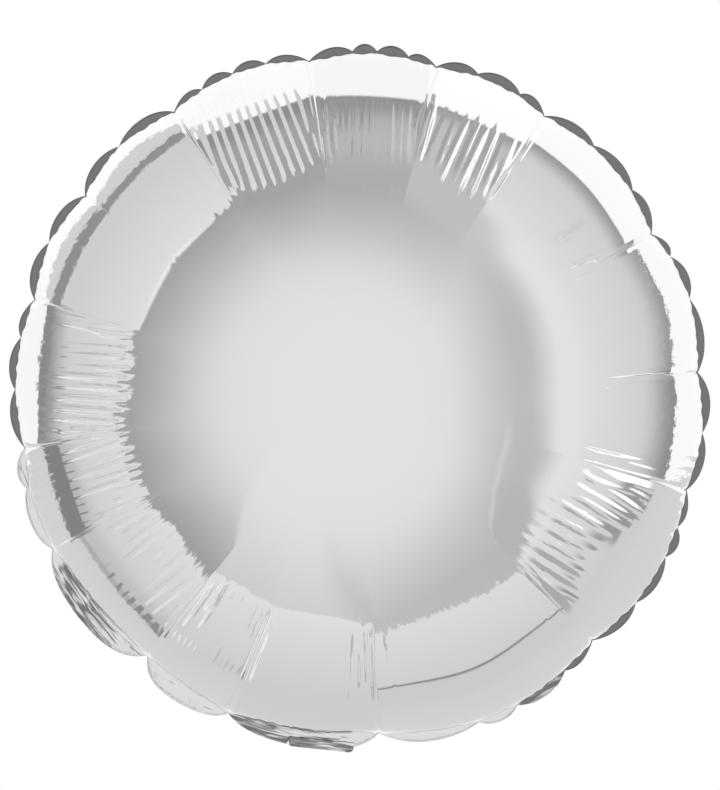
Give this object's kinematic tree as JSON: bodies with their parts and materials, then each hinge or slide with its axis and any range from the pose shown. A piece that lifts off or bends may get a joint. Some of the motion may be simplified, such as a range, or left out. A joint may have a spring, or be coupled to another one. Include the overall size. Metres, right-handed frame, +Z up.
{
  "type": "round foil balloon",
  "caption": "Round silver foil party balloon, inflated: two creased foil domes welded at a scalloped rim seam, with a flat valve tail that folds.",
  "frame": {"origin": "centre of the inflated balloon, on the plane of its rim seam", "axes": "-Y out of the front face, +Y out of the back face, +Z up with the tail at the bottom, +X to the right seen from the front"},
  "size_m": [0.3531, 0.204, 0.3562],
  "materials": {
    "silver_foil": "polished",
    "welded_foil": "satin",
    "clear_valve_film": "gloss"
  },
  "bodies": {
    "envelope": {"front_panel": "silver_foil", "back_panel": "silver_foil", "rim_seam": "welded_foil"},
    "tail": {"tail_outer_foil": "silver_foil", "tail_inner_foil": "silver_foil", "tail_left_seam": "welded_foil", "tail_right_seam": "welded_foil", "valve_outer_film": "clear_valve_film", "valve_inner_film": "clear_valve_film"}
  },
  "joints": [
    {"name": "tail_fold", "type": "hinge", "parent": "envelope", "child": "tail", "pos_m": [-0.01849, 0, -0.17596], "axis": [-0.9945, 0, 0.1045], "range_deg": [0, 180]}
  ]
}
